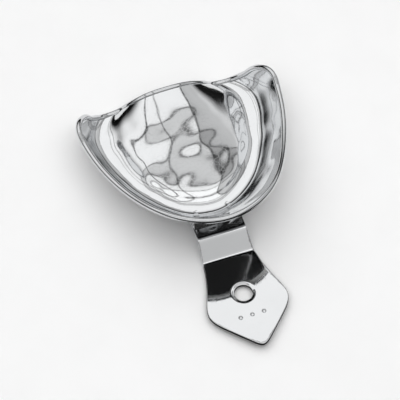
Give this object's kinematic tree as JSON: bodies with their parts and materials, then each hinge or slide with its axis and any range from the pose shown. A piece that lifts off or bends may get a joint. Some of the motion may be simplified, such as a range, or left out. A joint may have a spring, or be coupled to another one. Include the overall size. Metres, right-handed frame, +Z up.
{
  "type": "impression tray",
  "caption": "Polished metal edentulous upper impression tray: solid arch-shaped bowl with a beaded border and a stepped strip handle with a hanging hole.",
  "frame": {"origin": "middle of the footprint, on the table that the tray rests on", "axes": "+Z up out of the tissue side, -Y towards the handle, +X to the right of someone holding the handle towards themselves; the plane X=0 is the plane of symmetry"},
  "size_m": [0.0698, 0.0984, 0.0267],
  "materials": {
    "bowl_steel": "mirror-polished pressed sheet, softly uneven",
    "rim_steel": "polished round wire bead",
    "handle_steel": "mirror-polished flat strip with fine wear",
    "solder": "buffed silver solder",
    "weld_metal": "fused steel, hidden in the joint"
  },
  "bodies": {
    "root": {"tray_bowl": "bowl_steel", "rim_wire": "rim_steel", "rim_solder": "solder", "handle": "handle_steel", "weld_nuggets": "weld_metal", "handle_solder": "solder"}
  },
  "joints": []
}
